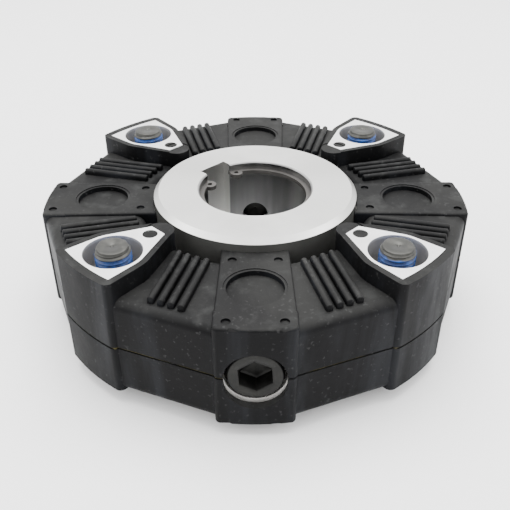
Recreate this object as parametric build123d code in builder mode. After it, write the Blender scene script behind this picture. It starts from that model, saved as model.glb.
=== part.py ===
"""Highly flexible shaft coupling: a rubber ring between four axial and four radial metal stations.

Frame: millimetres, +Z up along the shaft axis, origin at the centre of the hub's lower end face.
The radial stations stand at 0, 90, 180 and 270 degrees, the axial ones at 45, 135, 225 and 315.
The axial screws hang loose in their inserts, so they stand on the same plane as the hub.
"""
import math
import os

from build123d import *

# hub
HUB_R = 63.0             # turned outside radius
HUB_H = 80.0             # length along the shaft
HUB_CHAMFER = 3.0        # outer edges
MID_Z = HUB_H / 2        # parting plane of the rubber and axis of the radial screws
BORE_R = 35.0            # shaft bore
BORE_CHAMFER = 1.0
KEY_W = 20.0             # keyway
KEY_D = 4.9
KEY_AT = 135.0           # azimuth of the keyway

# retaining ring and its groove
GROOVE_D = 1.5
GROOVE_W = 2.65
GROOVE_DROP = 4.7        # hub's top face to the groove
RING_T = 2.5
RING_W = 4.5             # radial width of the ring
RING_PLAY = 0.05         # ring to groove floor
LUG_R = 4.1
LUG_IN = 3.4             # lug centres inside the bore wall
LUG_TURN = 21.8          # lug centres either side of the keyway, degrees
LUG_HOLE_R = 1.5
RING_OPEN = 15.5         # half angle of the opening, degrees

# M20 x 65 socket head screws
THREAD_R = 10.0
SHANK_L = 65.0
HEAD_R = 15.0
HEAD_H = 20.0
HEAD_CHAMFER = 1.0
HEX_AF = 17.0
HEX_D = 10.0
TIP_CHAMFER = 1.5
THREAD_PLAY = 0.05       # screw to tapped hole, radially
HOLE_PLAY = 0.5          # radial screw to its through hole

# rubber ring
RING_OUT = 131.0         # outer arc of all eight stations
FACET_BACK = 5.0         # flat outside of a column, inside the outer arc
FACET_STEP = 1.4         # the flats end this far inside the outer arc
COLUMN_GAP = 6.0         # hub to the columns
COLUMN_HALF = 30.6       # half thickness of a column
COLUMN_EDGE = 5.6        # outer edge radius
COLUMN_LIP = 8.0         # inner edge radius
PAD_HALF = 32.3          # half thickness at a radial station
PAD_OUTER = 21.3         # half width at the rim
PAD_INNER = 19.2         # half width at the hub
PAD_EDGE = 1.6
PAD_CORNER = 2.8
PAD_GAP = 0.5            # the rubber stays clear of the hub
SEAM_W = 1.3             # groove along the parting plane
SEAM_D = 0.9

# dish and core pin holes of a pad
DISH_AT = 32.7           # centre, from the hub
DISH_R = 15.4
DISH_D = 3.5
DISH_STEP = 1.6          # width of the shallow ring round the dish
DISH_STEP_D = 0.5
PIN_R = 2.5
PIN_D = 1.3
PIN_OUT = 7.0            # outer pins, from the outer arc
PIN_IN = 7.5             # inner pins, from the hub
PIN_OUT_SIDE = 14.4      # offset from the station's axis
PIN_IN_SIDE = 12.6

# ribs, four on each face of a column
RIB_COUNT = 4
RIB_R = 1.9
RIB_RISE = 3.8           # crest over the column's face
RIB_TILT = 14.0          # lean from the radial station's axis, degrees
RIB_FIRST = 8.4          # distance of the first rib's line from the shaft axis
RIB_PITCH = 5.7
RIB_OUT = 7.1            # outer ends, inside the flat
RIB_IN = 7.5             # inner ends, outside the column's inner wall

# axial stations
BOLT_BACK = 23.5         # screws' circle, inside the outer arc
SEAT = 41.5              # mounting face over the parting plane
FOOT = 30.4              # underside below the parting plane
SPIGOT_R = 16.2          # recess in the mounting face
SPIGOT_D = 22.0
WEB = 13.0               # metal between the recess and the head bore
WEB_PLAY = 2.0           # loose screw to the web, radially
HEAD_BORE_GAP = 0.8      # screw head to the insert, radially
FOOT_GAP = 2.0           # screw head to the rubber under the insert, radially
INSERT_WALL = 1.8        # metal round the recess
RIM_SKIN = 5.0           # rubber outside the insert
SIDE_SKIN = 3.7          # rubber beside the insert
FOOT_SKIN = 4.0          # rubber under the insert
INSERT_CORNER = 19.6     # half width at the rim
INSERT_NOSE = 5.7        # half width at the inner end
BLOCK_CORNER = 24.4      # half width of the block at the rim
BLOCK_ROUND = 4.0
LOBE_R = 8.0             # rounded inner end of the block
LOBE_GAP = 4.5           # lobe to the hub
LOBE_STEP = 0.5          # lobe below the mounting face
NOSE_IN = 1.2            # insert's inner end outside the lobe's centre
VENT_R = 4.3             # hole in the insert, filled with rubber
VENT_IN = 5.7            # its centre, from the insert's inner end

# radial stations
RAD_SKIN = 4.5           # rubber outside the insert
RAD_SIDE = 3.0           # rubber beside the insert
RAD_TOP = 4.2            # rubber over the insert
RAD_BREAK = 2.0          # chamfer of its outer corners
SINK_GAP = 1.5           # screw head to its recess, radially
HEAD_SUNK = 2.6          # screw head behind the outer arc
OVAL_DROP = 3.0          # the opening in the rubber is drawn down by this much
TAP_RUN = 2.4            # thread beyond the screw's tip
DRILL_R = 8.75           # tapping drill, through to the bore

COLUMN_IN = HUB_R + COLUMN_GAP
FACET = RING_OUT - FACET_BACK
BOLT_R = RING_OUT - BOLT_BACK
SEAT_Z = MID_Z + SEAT
FOOT_Z = MID_Z - FOOT
BULGE = SPIGOT_R + INSERT_WALL
LOBE_AT = HUB_R + LOBE_GAP + LOBE_R
NOSE_AT = LOBE_AT + NOSE_IN
INSERT_RIM = RING_OUT - RIM_SKIN
HEAD_FACE = RING_OUT - HEAD_SUNK
HEAD_SEAT = HEAD_FACE - HEAD_H
TAP_END = HEAD_SEAT - SHANK_L - TAP_RUN
RAD_HALF = PAD_HALF - RAD_TOP
RADIAL_AT = (0, 90, 180, 270)
AXIAL_AT = (45, 135, 225, 315)


def touch(x, y, centre, r):
    """Point where a line from (x, y) touches the circle of radius r about (centre, 0)."""
    reach = math.acos(r / math.hypot(x - centre, y))
    bearing = math.atan2(y, x - centre)
    turn = bearing + reach if x > centre else bearing - reach
    return centre + r * math.cos(turn), r * math.sin(turn)


def both_sides(points):
    """The points of one half outline, then their mirror images back to the start."""
    return list(points) + [(x, -y) for x, y in reversed(points)]


def column_plan(inset=0.0):
    """Octagonal band of the eight columns, its outside moved in by the inset."""
    with BuildSketch() as plan:
        RegularPolygon(FACET - inset, 8, major_radius=False)
        Circle(RING_OUT - FACET_STEP - inset, mode=Mode.INTERSECT)
        Circle(COLUMN_IN, mode=Mode.SUBTRACT)
    return plan.sketch


def pad_plan(inset=0.0):
    """Radial station on the +X axis, from the hub to the outer arc."""
    with BuildSketch() as plan:
        sides = [(0, PAD_INNER - inset), (HUB_R, PAD_INNER - inset), (RING_OUT, PAD_OUTER - inset)]
        Polygon(*both_sides(sides), align=None)
        with Locations((RING_OUT, 0)):
            Rectangle(4 * LOBE_R, 2 * (PAD_OUTER - inset))
        Circle(RING_OUT - inset, mode=Mode.INTERSECT)
        Circle(HUB_R + PAD_GAP, mode=Mode.SUBTRACT)
    return plan.sketch


def block_plan(inset=0.0):
    """Axial station on the +X axis: outer arc, bulge round the screw and rounded inner lobe."""
    bulge = BULGE + SIDE_SKIN - inset
    lobe = LOBE_R - inset
    corner = BLOCK_CORNER - inset
    lean = math.asin((bulge - lobe) / (BOLT_R - LOBE_AT))
    side = [(LOBE_AT - lobe * math.sin(lean), lobe * math.cos(lean)),
            (BOLT_R - bulge * math.sin(lean), bulge * math.cos(lean)),
            touch(RING_OUT, corner, BOLT_R, bulge),
            (RING_OUT, corner)]
    with BuildSketch() as plan:
        Polygon(*both_sides(side), align=None)
        with Locations((BOLT_R, 0)):
            Circle(bulge)
        with Locations((LOBE_AT, 0)):
            Circle(lobe)
        Circle(RING_OUT - inset, mode=Mode.INTERSECT)
    return plan.sketch


def axial_plan():
    """Metal of an axial station on the +X axis, with the hole that the rubber fills."""
    rim = math.sqrt(INSERT_RIM ** 2 - INSERT_CORNER ** 2)
    side = [(NOSE_AT, INSERT_NOSE),
            touch(NOSE_AT, INSERT_NOSE, BOLT_R, BULGE),
            touch(rim, INSERT_CORNER, BOLT_R, BULGE),
            (rim, INSERT_CORNER)]
    with BuildSketch() as plan:
        Polygon(*both_sides(side), align=None)
        with BuildLine():
            RadiusArc(side[-1], (rim, -INSERT_CORNER), INSERT_RIM)
            Line((rim, -INSERT_CORNER), side[-1])
        make_face()
        with Locations((BOLT_R, 0)):
            Circle(BULGE)
        with Locations((NOSE_AT + VENT_IN, 0)):
            Circle(VENT_R, mode=Mode.SUBTRACT)
    return plan.sketch


def axial_core():
    """Uncut metal of an axial station, the shape of its pocket in the rubber."""
    with BuildPart() as core:
        with BuildSketch(Plane.XY.offset(FOOT_Z + FOOT_SKIN)):
            add(axial_plan())
        extrude(amount=SEAT_Z - FOOT_Z - FOOT_SKIN)
    return core.part


def axial_insert():
    """Metal of an axial station: recess in the mounting face, web with the screw hole, head bore."""
    web_z = SEAT_Z - SPIGOT_D - WEB
    with BuildPart() as insert:
        add(axial_core())
        with Locations((BOLT_R, 0, SEAT_Z)):
            Cylinder(SPIGOT_R, 2 * SPIGOT_D, mode=Mode.SUBTRACT)
        with Locations((BOLT_R, 0, web_z)):
            Cylinder(THREAD_R + WEB_PLAY, 4 * WEB, mode=Mode.SUBTRACT)
        with Locations((BOLT_R, 0, 0)):
            Cylinder(HEAD_R + HEAD_BORE_GAP, 2 * web_z, mode=Mode.SUBTRACT)
    return insert.part


def radial_core():
    """Uncut metal of a radial station on the +X axis, the shape of its pocket in the rubber."""
    out = RING_OUT - RAD_SKIN
    with BuildPart() as core:
        with BuildSketch(Plane.XY.offset(MID_Z - RAD_HALF)):
            sides = [(HUB_R - RAD_SKIN, PAD_INNER - RAD_SIDE), (out, PAD_OUTER - RAD_SIDE)]
            Polygon(*both_sides(sides), align=None)
        extrude(amount=2 * RAD_HALF)
        chamfer(core.edges().filter_by(Axis.Z).sort_by(Axis.X)[-2:], RAD_BREAK)
    return core.part


def radial_insert():
    """Metal of a radial station: hollowed to seat on the hub, with screw hole and head recess."""
    with BuildPart() as insert:
        add(radial_core())
        Cylinder(HUB_R, 4 * HUB_H, mode=Mode.SUBTRACT)
        with BuildSketch(Plane.YZ):
            with Locations((0, MID_Z)):
                Circle(THREAD_R + HOLE_PLAY)
        extrude(amount=RING_OUT, mode=Mode.SUBTRACT)
        with BuildSketch(Plane.YZ.offset(HEAD_SEAT)):
            with Locations((0, MID_Z)):
                Circle(HEAD_R + SINK_GAP)
        extrude(amount=RING_OUT, mode=Mode.SUBTRACT)
    return insert.part


def screw():
    """Socket head screw standing on its head at the origin."""
    up = (Align.CENTER, Align.CENTER, Align.MIN)
    with BuildPart() as body:
        Cylinder(HEAD_R, HEAD_H, align=up)
        chamfer(body.edges().group_by(Axis.Z)[0], HEAD_CHAMFER)
        with BuildSketch():
            RegularPolygon(HEX_AF / 2, 6, major_radius=False)
        extrude(amount=HEX_D, mode=Mode.SUBTRACT)
        with Locations((0, 0, HEAD_H)):
            Cylinder(THREAD_R, SHANK_L, align=up)
        tip = body.faces().sort_by(Axis.Z)[-1]
        chamfer(tip.edges(), TIP_CHAMFER)
    return body.part


os.makedirs("parts", exist_ok=True)

# hub: turned, bored, keyed, grooved for the retaining ring and tapped four times from outside
groove_z = HUB_H - GROOVE_DROP - GROOVE_W
with BuildPart() as hub:
    with BuildSketch(Plane.XZ):
        with BuildLine():
            Polyline((BORE_R + BORE_CHAMFER, 0), (HUB_R - HUB_CHAMFER, 0), (HUB_R, HUB_CHAMFER),
                     (HUB_R, HUB_H - HUB_CHAMFER), (HUB_R - HUB_CHAMFER, HUB_H),
                     (BORE_R + BORE_CHAMFER, HUB_H), (BORE_R, HUB_H - BORE_CHAMFER),
                     (BORE_R, groove_z + GROOVE_W), (BORE_R + GROOVE_D, groove_z + GROOVE_W),
                     (BORE_R + GROOVE_D, groove_z), (BORE_R, groove_z), (BORE_R, BORE_CHAMFER), close=True)
        make_face()
    revolve(axis=Axis.Z)
    with BuildSketch(Plane.XY.rotated((0, 0, KEY_AT))):
        with Locations(((BORE_R + KEY_D) / 2, 0)):
            Rectangle(BORE_R + KEY_D, KEY_W)
    extrude(amount=HUB_H, mode=Mode.SUBTRACT)
    for angle in RADIAL_AT:
        outwards = Vector(1, 0, 0).rotate(Axis.Z, angle)
        cross = Plane(origin=(0, 0, MID_Z), x_dir=(0, 0, 1), z_dir=outwards)
        with BuildSketch(cross):
            Circle(DRILL_R)
        extrude(amount=TAP_END, mode=Mode.SUBTRACT)
        with BuildSketch(cross.offset(TAP_END)):
            Circle(THREAD_R + THREAD_PLAY)
        extrude(amount=HUB_R, mode=Mode.SUBTRACT)
hub.part.label = "hub"
export_step(hub.part, "parts/hub.step")

# retaining ring: open at the keyway, with a drilled lug either side of the opening
ring_out = BORE_R + GROOVE_D - RING_PLAY
with BuildPart() as retaining_ring:
    with BuildSketch(Plane.XY.rotated((0, 0, KEY_AT)).offset(groove_z + RING_PLAY)):
        Circle(ring_out)
        Circle(ring_out - RING_W, mode=Mode.SUBTRACT)
        half = BORE_R * math.tan(math.radians(RING_OPEN))
        Polygon((0, 0), (2 * BORE_R, 2 * half), (2 * BORE_R, -2 * half), align=None, mode=Mode.SUBTRACT)
        with PolarLocations(BORE_R - LUG_IN, 2, start_angle=-LUG_TURN, angular_range=4 * LUG_TURN):
            Circle(LUG_R)
        Circle(ring_out, mode=Mode.INTERSECT)
        with PolarLocations(BORE_R - LUG_IN, 2, start_angle=-LUG_TURN, angular_range=4 * LUG_TURN):
            Circle(LUG_HOLE_R, mode=Mode.SUBTRACT)
    extrude(amount=RING_T)
retaining_ring.part.label = "retaining_ring"
export_step(retaining_ring.part, "parts/retaining_ring.step")

# ribs beside one radial station: parallel bars on both faces of the two columns it meets
tilt = math.radians(RIB_TILT)
facet_turn = math.radians(45 / 2 - RIB_TILT)
with BuildPart() as ribs:
    for n in range(RIB_COUNT):
        line = RIB_FIRST + n * RIB_PITCH
        start = math.sqrt((COLUMN_IN + RIB_IN) ** 2 - line ** 2)
        end = (FACET - RIB_OUT - line * math.sin(facet_turn)) / math.cos(facet_turn)
        x = start * math.cos(tilt) - line * math.sin(tilt)
        y = start * math.sin(tilt) + line * math.cos(tilt)
        for side in (1, -1):
            z = MID_Z + side * (COLUMN_HALF + RIB_RISE - RIB_R)
            along = Vector(math.cos(tilt), math.sin(tilt), 0)
            bar = Plane(origin=(x, y, z), x_dir=(0, 0, -side), z_dir=along)
            with BuildSketch(bar):
                Circle(RIB_R)
                with Locations((RIB_RISE / 2, 0)):
                    Rectangle(RIB_RISE, 2 * RIB_R)
            extrude(amount=end - start)
    mirror(about=Plane.XZ)

# one radial station's rubber
with BuildPart() as pad:
    with BuildSketch(Plane.XY.offset(MID_Z - PAD_HALF)):
        add(pad_plan())
    extrude(amount=2 * PAD_HALF)
    fillet(pad.edges().filter_by(Axis.Z).sort_by(Axis.X)[-2:], PAD_CORNER)
    rims = pad.edges().group_by(Axis.Z)[0] + pad.edges().group_by(Axis.Z)[-1]
    fillet(rims.filter_by(lambda e: (e @ 0.5).X > HUB_R + PIN_IN), PAD_EDGE)

# one axial station's rubber
with BuildPart() as block:
    with BuildSketch(Plane.XY.offset(FOOT_Z)):
        add(block_plan())
    extrude(amount=SEAT_Z - FOOT_Z)
    fillet(block.edges().filter_by(Axis.Z).sort_by(Axis.X)[-2:], BLOCK_ROUND)
    with Locations((LOBE_AT, 0, SEAT_Z)):
        Cylinder(LOBE_R + LOBE_STEP / 2, 2 * LOBE_STEP, mode=Mode.SUBTRACT)

# groove that runs round the outside on the parting plane
with BuildPart() as seam:
    with BuildSketch(Plane.XY.offset(MID_Z - SEAM_W / 2)):
        Circle(RING_OUT + SEAM_D)
        add(column_plan(SEAM_D), mode=Mode.SUBTRACT)
        Circle(COLUMN_IN + COLUMN_GAP, mode=Mode.SUBTRACT)
        with PolarLocations(0, 4):
            add(pad_plan(SEAM_D), mode=Mode.SUBTRACT)
        with PolarLocations(0, 4, start_angle=45):
            add(block_plan(SEAM_D), mode=Mode.SUBTRACT)
    extrude(amount=SEAM_W)

# hollows of a radial station: dishes, core pin holes, oval head opening and the insert's pocket
with BuildPart() as pad_hollow:
    add(radial_core())
    for z in (MID_Z + PAD_HALF, MID_Z - PAD_HALF):
        with Locations((HUB_R + DISH_AT, 0, z)):
            Cylinder(DISH_R, 2 * DISH_D)
            Cylinder(DISH_R + DISH_STEP, 2 * DISH_STEP_D)
        outer_pins = [(RING_OUT - PIN_OUT, y, z) for y in (PIN_OUT_SIDE, -PIN_OUT_SIDE)]
        inner_pins = [(HUB_R + PIN_IN, y, z) for y in (PIN_IN_SIDE, -PIN_IN_SIDE)]
        with Locations(*outer_pins, *inner_pins):
            Cylinder(PIN_R, 2 * PIN_D)
    with BuildSketch(Plane.YZ.offset(HEAD_SEAT)):
        with Locations((0, MID_Z), (0, MID_Z - OVAL_DROP)):
            Circle(HEAD_R + SINK_GAP)
        with Locations((0, MID_Z - OVAL_DROP / 2)):
            Rectangle(2 * (HEAD_R + SINK_GAP), OVAL_DROP)
    extrude(amount=RING_OUT)

# hollows of an axial station: the insert's pocket and the opening for the screw head
with BuildPart() as block_hollow:
    add(axial_core())
    with Locations((BOLT_R, 0, FOOT_Z)):
        Cylinder(HEAD_R + FOOT_GAP, 4 * FOOT_SKIN)

# rubber ring: columns, pads and blocks in one moulding
with BuildPart() as rubber_ring:
    with BuildSketch(Plane.XY.offset(MID_Z - COLUMN_HALF)):
        add(column_plan())
    extrude(amount=2 * COLUMN_HALF)
    level = rubber_ring.edges().filter_by(lambda e: abs(e.tangent_at(0.5).Z) < 0.5)
    fillet(level.filter_by(lambda e: (e @ 0.5).X ** 2 + (e @ 0.5).Y ** 2 < FACET ** 2 / 2), COLUMN_LIP)
    level = rubber_ring.edges().filter_by(lambda e: abs(e.tangent_at(0.5).Z) < 0.5)
    fillet(level.filter_by(lambda e: (e @ 0.5).X ** 2 + (e @ 0.5).Y ** 2 > (FACET - 1) ** 2), COLUMN_EDGE)
    with PolarLocations(0, 4):
        add(ribs.part)
        add(pad.part)
    with PolarLocations(0, 4, start_angle=45):
        add(block.part)
    add(seam.part, mode=Mode.SUBTRACT)
    with PolarLocations(0, 4):
        add(pad_hollow.part, mode=Mode.SUBTRACT)
    with PolarLocations(0, 4, start_angle=45):
        add(block_hollow.part, mode=Mode.SUBTRACT)
rubber_ring.part.label = "rubber_ring"
export_step(rubber_ring.part, "parts/rubber_ring.step")

# inserts and screws, counted anticlockwise from +X
for n, angle in enumerate(RADIAL_AT, 1):
    insert = radial_insert().rotate(Axis.Z, angle)
    insert.label = f"radial_insert_{n}"
    export_step(insert, f"parts/radial_insert_{n}.step")
    lying = screw().rotate(Axis.Y, -90).moved(Location((HEAD_FACE, 0, MID_Z)))
    piece = lying.rotate(Axis.Z, angle)
    piece.label = f"radial_screw_{n}"
    export_step(piece, f"parts/radial_screw_{n}.step")
for n, angle in enumerate(AXIAL_AT, 1):
    insert = axial_insert().rotate(Axis.Z, angle)
    insert.label = f"axial_insert_{n}"
    export_step(insert, f"parts/axial_insert_{n}.step")
    piece = screw().moved(Location((BOLT_R, 0, 0))).rotate(Axis.Z, angle)
    piece.label = f"axial_screw_{n}"
    export_step(piece, f"parts/axial_screw_{n}.step")
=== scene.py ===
"""Looks of the flexible coupling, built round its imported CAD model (metres, +Z along the shaft)."""
import math

import bpy
import numpy as np
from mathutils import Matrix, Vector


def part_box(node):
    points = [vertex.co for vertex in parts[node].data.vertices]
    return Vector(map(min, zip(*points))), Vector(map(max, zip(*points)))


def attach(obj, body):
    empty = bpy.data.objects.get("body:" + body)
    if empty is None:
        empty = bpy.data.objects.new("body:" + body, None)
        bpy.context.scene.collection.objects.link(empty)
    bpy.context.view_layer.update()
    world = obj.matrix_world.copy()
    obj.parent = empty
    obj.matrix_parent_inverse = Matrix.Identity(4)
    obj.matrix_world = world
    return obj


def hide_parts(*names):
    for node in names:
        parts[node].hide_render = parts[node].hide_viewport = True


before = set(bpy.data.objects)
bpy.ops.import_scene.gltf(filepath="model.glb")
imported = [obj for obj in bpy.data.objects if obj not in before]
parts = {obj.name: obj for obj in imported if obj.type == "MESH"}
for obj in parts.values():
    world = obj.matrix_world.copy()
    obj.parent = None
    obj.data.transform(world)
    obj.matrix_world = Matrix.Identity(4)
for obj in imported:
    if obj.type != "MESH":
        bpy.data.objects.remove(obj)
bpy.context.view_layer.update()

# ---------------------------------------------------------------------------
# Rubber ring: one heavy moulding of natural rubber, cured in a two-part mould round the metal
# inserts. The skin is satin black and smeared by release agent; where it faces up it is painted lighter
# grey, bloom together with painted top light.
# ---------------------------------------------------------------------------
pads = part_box("radial_insert_1")
mid_z = (pads[0].z + pads[1].z) / 2
ring_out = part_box("rubber_ring")[1].x


class Finish:
    """A material's node tree, with short calls for the nodes that the finishes share."""

    def __init__(self, name):
        self.material = bpy.data.materials.new(name)
        self.material.use_nodes = True
        self.tree = self.material.node_tree
        self.shader = self.tree.nodes["Principled BSDF"]
        self.place = self.add("ShaderNodeTexCoord").outputs["Object"]

    def add(self, kind, **settings):
        """A new node of this kind, with its own settings such as operation."""
        node = self.tree.nodes.new(kind)
        for key, value in settings.items():
            setattr(node, key, value)
        return node

    def feed(self, socket, value):
        """Links an output to the socket, or writes a plain value on it."""
        if isinstance(value, bpy.types.NodeSocket):
            self.tree.links.new(value, socket)
        else:
            socket.default_value = value

    def math(self, operation, a, b=0.0):
        """One Math node: the result of the operation on a and b."""
        node = self.add("ShaderNodeMath", operation=operation)
        for socket, value in zip(node.inputs, (a, b)):
            self.feed(socket, value)
        return node.outputs[0]

    def axes(self):
        """The X, Y and Z of the object's own coordinates."""
        node = self.add("ShaderNodeSeparateXYZ")
        self.feed(node.inputs[0], self.place)
        return node.outputs[0], node.outputs[1], node.outputs[2]

    def noise(self, scale, detail=4.0, roughness=0.55, stretch=(1, 1, 1), distortion=0.0):
        """Fractal noise of the object's coordinates, stretched per axis, near 0.5 on average."""
        spread = self.add("ShaderNodeMapping")
        self.feed(spread.inputs["Vector"], self.place)
        spread.inputs["Scale"].default_value = stretch
        node = self.add("ShaderNodeTexNoise")
        self.feed(node.inputs["Vector"], spread.outputs[0])
        for key, value in (("Scale", scale), ("Detail", detail), ("Roughness", roughness),
                           ("Distortion", distortion)):
            node.inputs[key].default_value = value
        return node.outputs["Fac"]

    def step(self, value, low, high):
        """Ramps from 0 at low to 1 at high, smoothly."""
        node = self.add("ShaderNodeMapRange", interpolation_type="SMOOTHSTEP")
        for socket, v in zip(node.inputs, (value, low, high, 0.0, 1.0)):
            self.feed(socket, v)
        return node.outputs[0]

    def mix(self, share, first, second):
        """Colour that goes from first to second with the share."""
        node = self.add("ShaderNodeMix", data_type="RGBA")
        self.feed(node.inputs["Factor"], share)
        self.feed(node.inputs[6], first)
        self.feed(node.inputs[7], second)
        return node.outputs[2]

    def blend(self, share, first, second):
        """Number that goes from first to second with the share."""
        node = self.add("ShaderNodeMix", data_type="FLOAT")
        self.feed(node.inputs["Factor"], share)
        self.feed(node.inputs[2], first)
        self.feed(node.inputs[3], second)
        return node.outputs[0]

    def bump(self, height, distance, strength=1.0, under=None):
        """Surface normal tilted by a height field."""
        node = self.add("ShaderNodeBump")
        self.feed(node.inputs["Height"], height)
        node.inputs["Distance"].default_value = distance
        node.inputs["Strength"].default_value = strength
        if under is not None:
            self.feed(node.inputs["Normal"], under)
        return node.outputs[0]

    def set(self, **values):
        """Writes the shader's sockets, such as Base_Color or Roughness."""
        for key, value in values.items():
            self.feed(self.shader.inputs[key.replace("_", " ")], value)
        return self.material


def grey(level, tint=(1.0, 1.0, 1.0)):
    """Linear colour of this level, lightly tinted."""
    return (level * tint[0], level * tint[1], level * tint[2], 1.0)


def rubber_finish(name):
    """Black rubber: cloudy bloom and painted top light where it faces up, upright smears on the sides, a
    fine moulded tooth, and the olive thread of flash that lies in the groove on the parting plane."""
    f = Finish(name)
    z = f.axes()[2]
    facing = f.add("ShaderNodeSeparateXYZ")
    f.feed(facing.inputs[0], f.add("ShaderNodeNewGeometry").outputs["True Normal"])
    # Painted top light: up-facing skin takes the top colour, several times lighter than the sides, bloom
    # together with the light from above.
    bloom_and_top_light = f.step(facing.outputs[2], 0.3, 0.9)
    cloud = f.step(f.noise(14, 6, 0.62, distortion=0.6), 0.36, 0.68)
    smear = f.step(f.noise(36, 5, 0.62, stretch=(1, 1, 0.16), distortion=0.4), 0.44, 0.70)
    blotch = f.step(f.noise(75, 4, 0.6), 0.50, 0.72)
    speck = f.step(f.noise(420, 2, 0.5), 0.62, 0.75)
    side = f.mix(cloud, grey(0.0018, (1.0, 1.0, 1.10)), grey(0.0040, (0.98, 1.0, 1.10)))
    side = f.mix(f.math("MULTIPLY", smear, 0.75), side, grey(0.013, (0.90, 0.97, 1.16)))
    top = f.mix(cloud, grey(0.0085, (1.0, 1.0, 1.02)), grey(0.0190, (1.0, 1.0, 0.97)))
    top = f.mix(f.math("MULTIPLY", blotch, 0.5), top, grey(0.034, (0.98, 1.0, 0.98)))
    base = f.mix(bloom_and_top_light, side, top)
    base = f.mix(f.math("MULTIPLY", speck, 0.22), base, grey(0.07))
    off = f.math("ABSOLUTE", f.math("SUBTRACT", z, mid_z))
    flash = f.math("MULTIPLY", f.step(off, 0.00062, 0.00040), f.step(f.noise(50, 3), 0.42, 0.60))
    base = f.mix(f.math("MULTIPLY", flash, 0.8), base, (0.085, 0.072, 0.024, 1.0))
    rough = f.blend(smear, f.blend(cloud, 0.50, 0.64), 0.44)
    tooth = f.bump(f.noise(900, 3, 0.6), 0.00006, 0.5)
    waves = f.bump(f.noise(55, 4, 0.55), 0.0006, 0.35, under=tooth)
    return f.set(Base_Color=base, Roughness=rough, Specular_IOR_Level=0.07, Normal=waves)


rubber = rubber_finish("moulded_rubber")
parts["rubber_ring"].data.materials.clear()
parts["rubber_ring"].data.materials.append(rubber)

# ---------------------------------------------------------------------------
# Ribs: four parallel bars with round crests on each face of a column, moulded with it. The mould
# was cut with a ball-nosed tool, so the ends are round as well.
# ---------------------------------------------------------------------------
def skin(grid, closed=(False, False), cap=()):
    """Mesh of a grid of points (rows, columns, 3): each cell is a quad, closed round the rows or
    columns where told, and a fan to a middle point closes the first or last row that cap names."""
    rows, cols = grid.shape[:2]
    index = np.arange(rows * cols).reshape(rows, cols)
    if closed[0]:
        index = np.vstack([index, index[:1]])
    if closed[1]:
        index = np.hstack([index, index[:, :1]])
    quads = np.stack([index[:-1, :-1], index[:-1, 1:], index[1:, 1:], index[1:, :-1]], -1).reshape(-1, 4)
    points = grid.reshape(-1, 3)
    fans = []
    for row in cap:
        middle = grid[row].mean(0)
        ring = index[row]
        tip = np.full(len(ring) - 1, len(points))
        points = np.vstack([points, middle])
        edge = (ring[1:], ring[:-1]) if row == 0 else (ring[:-1], ring[1:])
        fans.append(np.stack([tip, *edge], -1))
    return points, quads, fans


def build(name, shells, material, replaced=()):
    """One object from several shells, smooth shaded, riding on the only body."""
    points, faces, start = [], [], 0
    for p, quads, fans in shells:
        points.append(p)
        faces += [tuple(q) for q in (quads + start).tolist()]
        for fan in fans:
            faces += [tuple(t) for t in (fan + start).tolist()]
        start += len(p)
    mesh = bpy.data.meshes.new(name)
    mesh.from_pydata(np.vstack(points).tolist(), [], faces)
    mesh.materials.append(material)
    mesh.polygons.foreach_set("use_smooth", np.ones(len(mesh.polygons), bool))
    mesh.update()
    piece = bpy.data.objects.new(name, mesh)
    bpy.context.scene.collection.objects.link(piece)
    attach(piece, "root")
    if replaced:
        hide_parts(*replaced)
    return piece


def turned(points, degrees):
    """The points turned about the shaft axis."""
    a = math.radians(degrees)
    spin = np.array([[math.cos(a), math.sin(a), 0], [-math.sin(a), math.cos(a), 0], [0, 0, 1]])
    return points @ spin


rib_half, rib_rise = 0.00193, 0.00383
column_half, column_in, facet = 0.0306, 0.069, ring_out - 0.005
rib_first, rib_pitch, rib_tilt = 0.0084, 0.0057, math.radians(14)
rib_cap, rib_root = 0.0009, 0.0004
rib_in, rib_back = 0.0075, 0.0071


def rib(line):
    """Bar along X at this distance from the shaft axis, as sections from end to end. A section is
    an upright with a half-round crest, scaled by an ellipse over the last bit of each end."""
    lean = math.radians(22.5) - rib_tilt
    start = math.sqrt((column_in + rib_in) ** 2 - line ** 2)
    end = (facet - rib_back - line * math.sin(lean)) / math.cos(lean)
    sweep = np.linspace(0, math.pi / 2, 7)
    along = np.concatenate([start - rib_cap * np.cos(sweep), end + rib_cap * np.sin(sweep)])[:, None]
    size = np.concatenate([np.sin(sweep), np.cos(sweep)])[:, None].clip(0.02, 1)
    v = np.linspace(-math.pi / 2, math.pi / 2, 11)
    across = np.concatenate([[-1.0], np.sin(v), [1.0]])[None, :] * rib_half * size
    crest = rib_rise - rib_half + rib_half * np.cos(v)
    high = np.concatenate([[-rib_root], crest, [-rib_root]])[None, :]
    return np.stack([along + 0 * across, across + line, high * (0.35 + 0.65 * size)], -1)


shells = []
for turn in (0, 90, 180, 270):
    for mirror in (1, -1):
        for face in (1, -1):
            for n in range(4):
                grid = turned(rib(rib_first + n * rib_pitch), math.degrees(rib_tilt))
                grid = grid * (1, mirror, face) + (0, 0, mid_z + face * column_half)
                grid = turned(grid, turn)
                shells.append(skin(grid[::-1] if mirror * face > 0 else grid))
build("ribs", shells, rubber)
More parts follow.
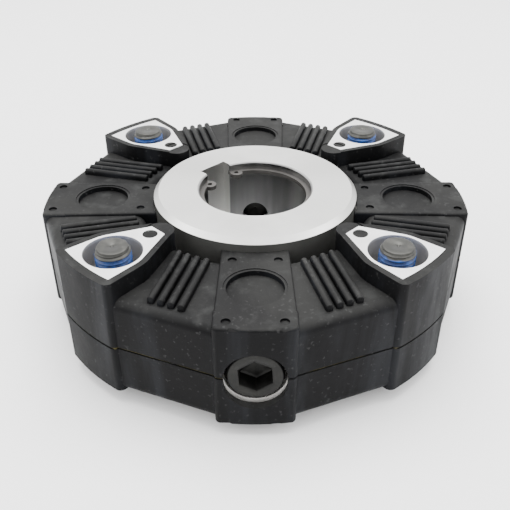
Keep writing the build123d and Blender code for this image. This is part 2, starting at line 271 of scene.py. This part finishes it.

# ---------------------------------------------------------------------------
# Hub: turned steel, bright on both end faces and the chamfers, blackened outside, oiled in the
# bore. The end face is painted darker at left and right, leaving painted bright fans of reflection at
# front and back, and the bore is painted darker with upright streaks, as painted shade and reflection.
# The turning marks are rings about the shaft axis.
# ---------------------------------------------------------------------------
hub_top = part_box("hub")[1].z
hub_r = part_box("hub")[1].x
f = Finish("turned_steel")
x, y, z = f.axes()
radius = f.math("SQRT", f.math("ADD", f.math("MULTIPLY", x, x), f.math("MULTIPLY", y, y)))
black_from, black_full = 0.0028, 0.0032
band = f.math("MULTIPLY", f.step(z, black_from, black_full),
              f.step(z, hub_top - black_from, hub_top - black_full))
outside = f.math("MULTIPLY", f.step(radius, hub_r - 0.0006, hub_r - 0.0002), band)
bore = f.step(radius, 0.0362, 0.0352)
rings = f.add("ShaderNodeTexNoise", noise_dimensions="1D")
f.feed(rings.inputs["W"], f.math("MULTIPLY", radius, 2600.0))
rings.inputs["Detail"].default_value = 3.0
cloud = f.noise(28, 4)
bright = f.mix(f.step(cloud, 0.35, 0.7), grey(0.92, (1.0, 0.997, 0.97)), grey(0.80, (1.0, 0.995, 0.965)))
dark = f.mix(f.noise(60, 5), grey(0.035, (1.0, 1.0, 0.95)), grey(0.075, (1.0, 1.0, 0.94)))
# Painted reflection: the end face is coloured darker in the left and right sectors, so front and back
# show as bright painted fans of reflected light.
painted_fan_mask = f.step(f.math("DIVIDE", f.math("ABSOLUTE", x), radius), 0.45, 0.95)
bright = f.mix(painted_fan_mask, bright, grey(0.66, (1.0, 0.997, 0.965)))
base = f.mix(outside, bright, dark)
# Painted shade and reflection: the oiled bore is coloured darker, with upright painted streaks of
# reflection.
painted_streaks = f.step(f.noise(26, 4, stretch=(1, 1, 0.1)), 0.4, 0.65)
base = f.mix(bore, base, f.mix(painted_streaks, grey(0.38), grey(0.18)))
tangent = f.add("ShaderNodeTangent", direction_type="RADIAL", axis="Z")
parts["hub"].data.materials.clear()
parts["hub"].data.materials.append(f.set(
    Base_Color=base, Metallic=f.math("SUBTRACT", 1.0, f.math("MULTIPLY", outside, 0.8)),
    Roughness=f.blend(outside, 0.32, 0.5), Anisotropic=0.65, Tangent=tangent.outputs[0],
    Normal=f.bump(rings.outputs["Fac"], 0.00002, 0.4)))

# ---------------------------------------------------------------------------
# Retaining ring: phosphated spring steel, stamped from strip and sprung into the groove near the
# top of the bore, where it stops the shaft.
# ---------------------------------------------------------------------------
f = Finish("phosphated_spring_steel")
parts["retaining_ring"].data.materials.clear()
parts["retaining_ring"].data.materials.append(f.set(
    Base_Color=f.mix(f.noise(90, 4), grey(0.05, (1.0, 0.95, 0.9)), grey(0.12, (1.0, 0.95, 0.9))),
    Metallic=0.7, Roughness=0.45))

# ---------------------------------------------------------------------------
# Inserts: aluminium castings bonded into the rubber, milled on the mounting face and bored for the
# screws. The cutter leaves arcs round each screw.
# ---------------------------------------------------------------------------
screw_circle = 0.1075
bolt_at = screw_circle / math.sqrt(2)
f = Finish("milled_aluminium")
x, y, z = f.axes()
dx = f.math("SUBTRACT", f.math("ABSOLUTE", x), bolt_at)
dy = f.math("SUBTRACT", f.math("ABSOLUTE", y), bolt_at)
off = f.math("SQRT", f.math("ADD", f.math("MULTIPLY", dx, dx), f.math("MULTIPLY", dy, dy)))
arcs = f.add("ShaderNodeTexNoise", noise_dimensions="1D")
f.feed(arcs.inputs["W"], f.math("MULTIPLY", off, 1500.0))
arcs.inputs["Detail"].default_value = 2.0
recess = f.step(z, 0.0812, 0.0790)
white = f.mix(f.step(f.noise(55, 5), 0.35, 0.75), grey(0.90, (1, 1, 1.0)), grey(0.78, (1, 0.99, 0.98)))
# Darker, browner grey below the mounting face, in the recess.
recess_grey = f.mix(f.noise(120, 5), grey(0.38, (1, 0.97, 0.92)), grey(0.62, (1, 0.98, 0.95)))
base = f.mix(recess, white, recess_grey)
aluminium = f.set(Base_Color=base, Metallic=0.85, Roughness=f.blend(recess, 0.42, 0.5),
                  Normal=f.bump(arcs.outputs["Fac"], 0.00003, 0.5))
for kind in ("axial_insert", "radial_insert"):
    for n in (1, 2, 3, 4):
        parts[f"{kind}_{n}"].data.materials.clear()
        parts[f"{kind}_{n}"].data.materials.append(aluminium)

# ---------------------------------------------------------------------------
# Screws: M20 x 65 socket head cap screws, cold headed and knurled, thread rolled, black oxide.
# The axial ones carry dried blue thread lock up to the last bare turns.
# ---------------------------------------------------------------------------
thread_r, pitch, head_r, head_h, length = 0.010, 0.0025, 0.015, 0.020, 0.065
hex_af, hex_deep, socket_turn = 0.017, 0.010, 26
bevel, thread_deep, first_turn = 0.0011, 0.00135, 0.0018


def head_shell():
    """Head as rings about its axis: socket floor, hexagon wall, face, knurled side and underside.
    The hexagon's radius at angle t is half the flats over the cosine of t folded into 30 degrees."""
    t = np.linspace(0, 2 * math.pi, 288, endpoint=False)
    hexagon = hex_af / 2 / np.cos((t + math.pi / 6) % (math.pi / 3) - math.pi / 6)
    knurl = head_r - 0.00022 * np.abs(np.sin(47 * t))
    even = 0 * t
    rings = [(0.0005 + even, hex_deep + 0.0016), (hexagon * 0.8, hex_deep + 0.0002),
             (hexagon * 0.99, hex_deep), (hexagon, hex_deep - 0.0002), (hexagon, 0.0005),
             (hexagon + 0.0004, 0.0), (head_r - 0.0012 + even, 0.0), (head_r - 0.0009 + even, 0.0001),
             (head_r - 0.0003 + even, 0.0009), (knurl, 0.0014), (knurl, head_h - 0.0012),
             (head_r - 0.0004 + even, head_h - 0.0004), (head_r - 0.0008 + even, head_h),
             (thread_r + 0.0002 + even, head_h)]
    grid = np.array([[r * np.cos(t), r * np.sin(t), z + even] for r, z in rings]).transpose(0, 2, 1)
    return skin(grid[::-1], closed=(False, True), cap=(-1,))


def shank_shell():
    """Thread as rings from neck to tip: the radius drops by a rounded vee of the height less the
    turn, times the pitch, and fades out at the neck. Behind the tip's bevel the thread starts with
    a shallow first turn; a lathe centre has left a dimple in the end face."""
    t = np.linspace(0, 2 * math.pi, 96, endpoint=False)
    z = np.arange(0, length - bevel, pitch / 10)[:, None]
    wave = np.abs(((z / pitch - t / (2 * math.pi)) % 1.0) - 0.5) * 2
    depth = thread_deep * np.clip(1.2 * wave - 0.12, 0, 1)
    lead = np.clip((length - bevel - z) / first_turn, 0, 1)
    crest = thread_r - 0.0014 * (1 - lead)
    r = np.minimum(crest, thread_r - depth * np.clip(z / 0.002, 0, 1))
    body = np.stack([r * np.cos(t), r * np.sin(t), head_h + z + 0 * r], -1)
    end = [(0.0086, length - 0.0010), (0.0086, length - 0.0005), (0.0084, length - 0.0001),
           (0.0081, length), (0.0012, length), (0.0009, length - 0.0003), (0.0003, length - 0.0008)]
    even = 0 * t
    tip = np.array([[q * np.cos(t), q * np.sin(t), head_h + h + even] for q, h in end])
    return skin(np.vstack([body, tip.transpose(0, 2, 1)]), closed=(False, True), cap=(-1,))


def screw_finish(name, worn_to, locked=False):
    """Black oxide steel rubbed to grey; where locked, dried blue thread lock from the second turn
    down, with a ragged upper edge."""
    f = Finish(name)
    worn = f.step(f.noise(160, 5, 0.6), 0.4, 0.75)
    base = f.mix(worn, grey(worn_to * 0.55, (1.0, 1.0, 0.93)), grey(worn_to, (1.0, 0.99, 0.91)))
    rough, metal = f.blend(worn, 0.40, 0.52), 0.8
    if locked:
        z = f.axes()[2]
        ragged = f.math("ADD", z, f.math("MULTIPLY", f.noise(140, 3), 0.0024))
        coat = f.math("MULTIPLY", f.step(ragged, 0.0828, 0.0822), f.step(z, 0.022, 0.030))
        blue = f.mix(f.step(f.noise(260, 4), 0.35, 0.7), (0.0, 0.018, 0.095, 1), (0.0, 0.060, 0.27, 1))
        base = f.mix(coat, base, blue)
        rough, metal = f.blend(coat, rough, 0.45), f.blend(coat, 0.8, 0.0)
    return f.set(Base_Color=base, Roughness=rough, Metallic=metal)


plain_steel = screw_finish("black_oxide_steel", 0.018)
locked_steel = screw_finish("thread_locked_steel", 0.085, locked=True)
head, shank = head_shell(), shank_shell()
at = np.array([screw_circle, 0, 0])
for n, turn in enumerate((45, 135, 225, 315), 1):
    shells = [(turned(points + at, turn), quads, fans) for points, quads, fans in (head, shank)]
    build(f"axial_screw_look_{n}", shells, locked_steel, [f"axial_screw_{n}"])
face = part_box("radial_screw_1")[1].x
for n, turn in enumerate((0, 90, 180, 270), 1):
    shells = []
    for points, quads, fans in (head, shank):
        p = turned(points, socket_turn)
        lying = np.stack([face - p[:, 2], p[:, 1], mid_z + p[:, 0]], -1)
        shells.append((turned(lying, turn), quads, fans))
    build(f"radial_screw_look_{n}", shells, plain_steel, [f"radial_screw_{n}"])

# ---------------------------------------------------------------------------
# Studio: a pale matt floor, even white light from all round, one broad lamp overhead and one on
# each side. The camera's place, aim and focal length were fitted to the photograph.
# ---------------------------------------------------------------------------
def floor_material():
    """Plain matt studio floor."""
    f = Finish("studio_floor")
    return f.set(Base_Color=grey(0.93), Roughness=0.9, Specular_IOR_Level=0.1)


reach = 8.0
ground = bpy.data.meshes.new("floor")
corners = [(-reach, -reach, 0), (reach, -reach, 0), (reach, reach, 0), (-reach, reach, 0)]
ground.from_pydata(corners, [], [(0, 1, 2, 3)])
ground.materials.append(floor_material())
floor = bpy.data.objects.new("floor", ground)
bpy.context.scene.collection.objects.link(floor)

world = bpy.data.worlds.new("studio")
bpy.context.scene.world = world
world.use_nodes = True
sky = world.node_tree.nodes["Background"]
sky.inputs["Color"].default_value = (1.0, 1.0, 1.0, 1.0)
sky.inputs["Strength"].default_value = 2.2


def lamp(name, place, aim, size, power):
    """Square area lamp at a place, turned to face the aim."""
    data = bpy.data.lights.new(name, "AREA")
    data.shape = "RECTANGLE"
    data.size, data.size_y = size
    data.energy = power
    obj = bpy.data.objects.new(name, data)
    obj.location = place
    towards = np.array(aim) - np.array(place)
    flat = math.hypot(towards[0], towards[1])
    heading = math.atan2(towards[1], towards[0]) - math.pi / 2
    obj.rotation_euler = (math.atan2(flat, -towards[2]), 0, heading)
    bpy.context.scene.collection.objects.link(obj)


lamp("overhead", (0.0, 0.25, 1.6), (0, 0, 0.04), (1.4, 1.4), 52)
lamp("left", (-1.5, -0.2, 0.9), (0, 0, 0.04), (1.0, 0.8), 9)
lamp("right", (1.5, -0.2, 0.9), (0, 0, 0.04), (1.0, 0.8), 9)

lens = bpy.data.cameras.new("camera")
lens.sensor_width = 36.0
lens.lens = 50.04
camera = bpy.data.objects.new("camera", lens)
camera.location = (0.00012, -0.39209, 0.28873)
camera.rotation_euler = tuple(math.radians(v) for v in (56.4487, 0.1057, -0.0227))
bpy.context.scene.collection.objects.link(camera)
bpy.context.scene.camera = camera
